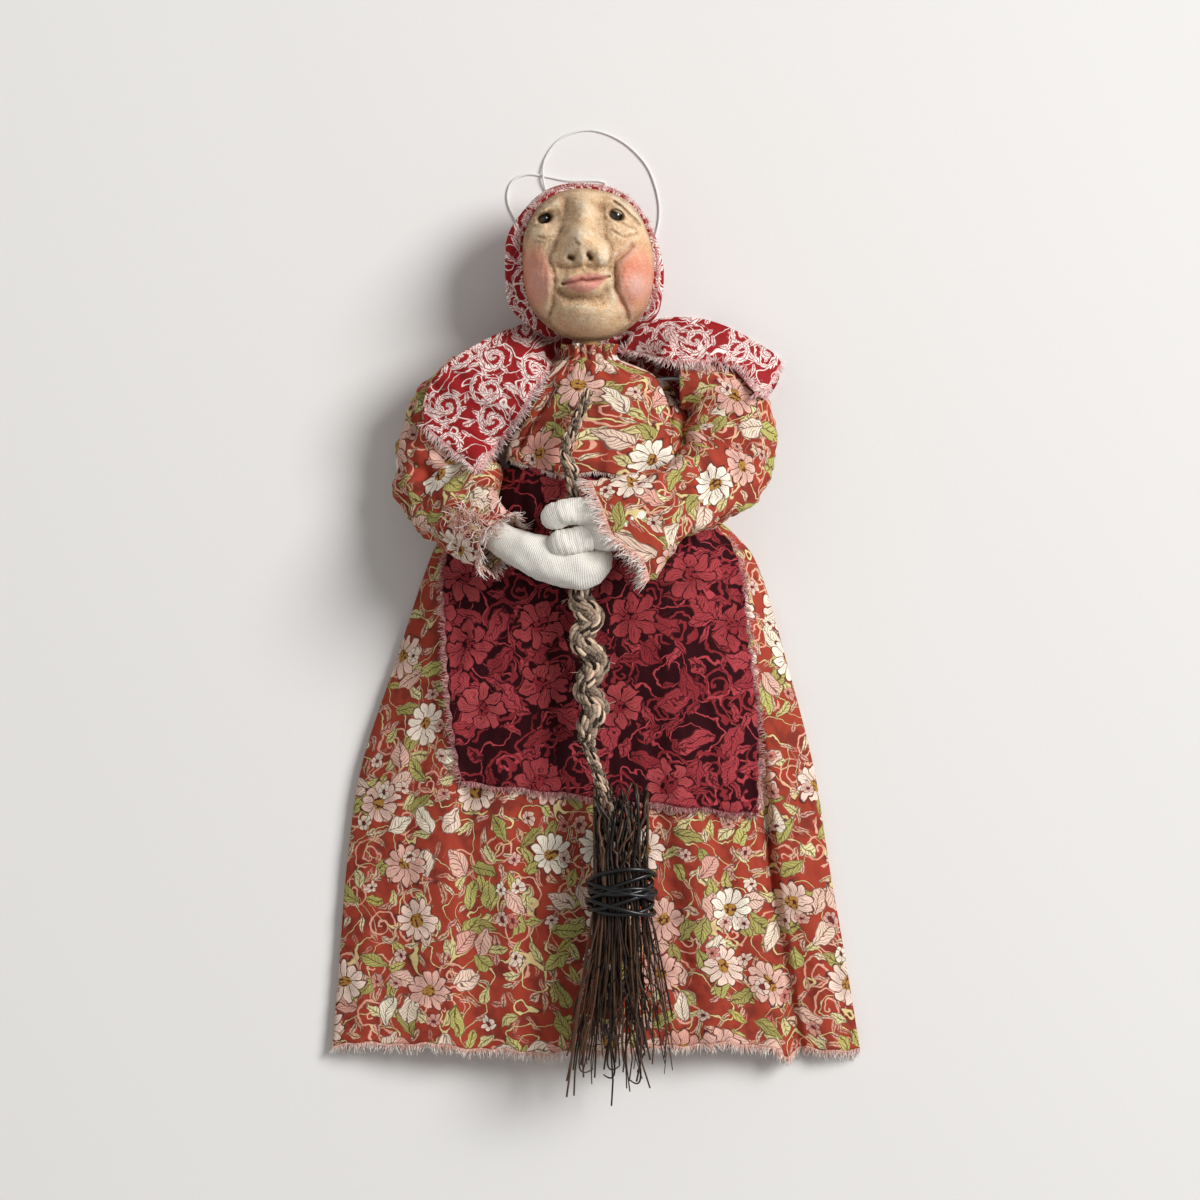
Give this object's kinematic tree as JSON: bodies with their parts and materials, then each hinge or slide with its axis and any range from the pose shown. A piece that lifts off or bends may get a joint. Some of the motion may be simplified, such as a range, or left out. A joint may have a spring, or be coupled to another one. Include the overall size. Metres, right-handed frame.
{
  "type": "apple head doll",
  "caption": "Apple head doll lying on its back, with a kerchief hood, shawl, long skirt and apron, and a twig broom in its clasped hands.",
  "frame": {"origin": "on the flat underside of the skirt, under the middle of the hips, on the surface that the doll lies on", "axes": "+Z out of the doll's front, +Y up the body to the head, +X to the right of someone who looks at its front"},
  "size_m": [0.1912, 0.3524, 0.0612],
  "materials": {
    "dried_apple": "dried and waxed, satin",
    "bead": "glossy black",
    "crimson_cotton": "printed cotton, matt",
    "printed_cotton": "printed cotton, matt",
    "maroon_twill": "printed twill, matt",
    "white_cotton": "cotton gauze over stuffing",
    "peg_wood": "whittled, bare",
    "steel_wire": "bare wire",
    "twine": "twisted plies, matt",
    "twigs": "dark bark",
    "black_wire": "covered, satin",
    "white_thread": "cotton thread"
  },
  "bodies": {
    "body": {"torso": "white_cotton", "neck_peg": "peg_wood", "collar": "printed_cotton", "bodice": "printed_cotton", "skirt": "printed_cotton", "apron": "maroon_twill", "shawl_back": "crimson_cotton", "shawl_left": "crimson_cotton", "shawl_right": "crimson_cotton", "hanging_thread": "white_thread"},
    "head": {"head": "dried_apple", "eye_left": "bead", "eye_right": "bead", "kerchief_hood": "crimson_cotton"},
    "arms": {"arm_wire": "steel_wire", "hand_left": "white_cotton", "hand_right": "white_cotton", "sleeve_left": "printed_cotton", "sleeve_right": "printed_cotton"},
    "broom": {"broom_handle": "twine", "bristles": "twigs", "binding_wire": "black_wire"}
  },
  "joints": [
    {"name": "head_turn", "type": "hinge", "parent": "body", "child": "head", "pos_m": [-0.0025, 0.136, 0.0277], "axis": [0, 1, 0], "range_deg": [-20, 20]},
    {"name": "arms_raise", "type": "hinge", "parent": "body", "child": "arms", "pos_m": [0, 0.095, 0.0219], "axis": [-1, 0, 0], "range_deg": [0, 25], "deforming": ["shawl_left", "shawl_right"]},
    {"name": "broom_swing", "type": "hinge", "parent": "arms", "child": "broom", "pos_m": [-0.0022, 0.0356, 0.0494], "axis": [0, 0, 1], "range_deg": [-8, 8]}
  ]
}
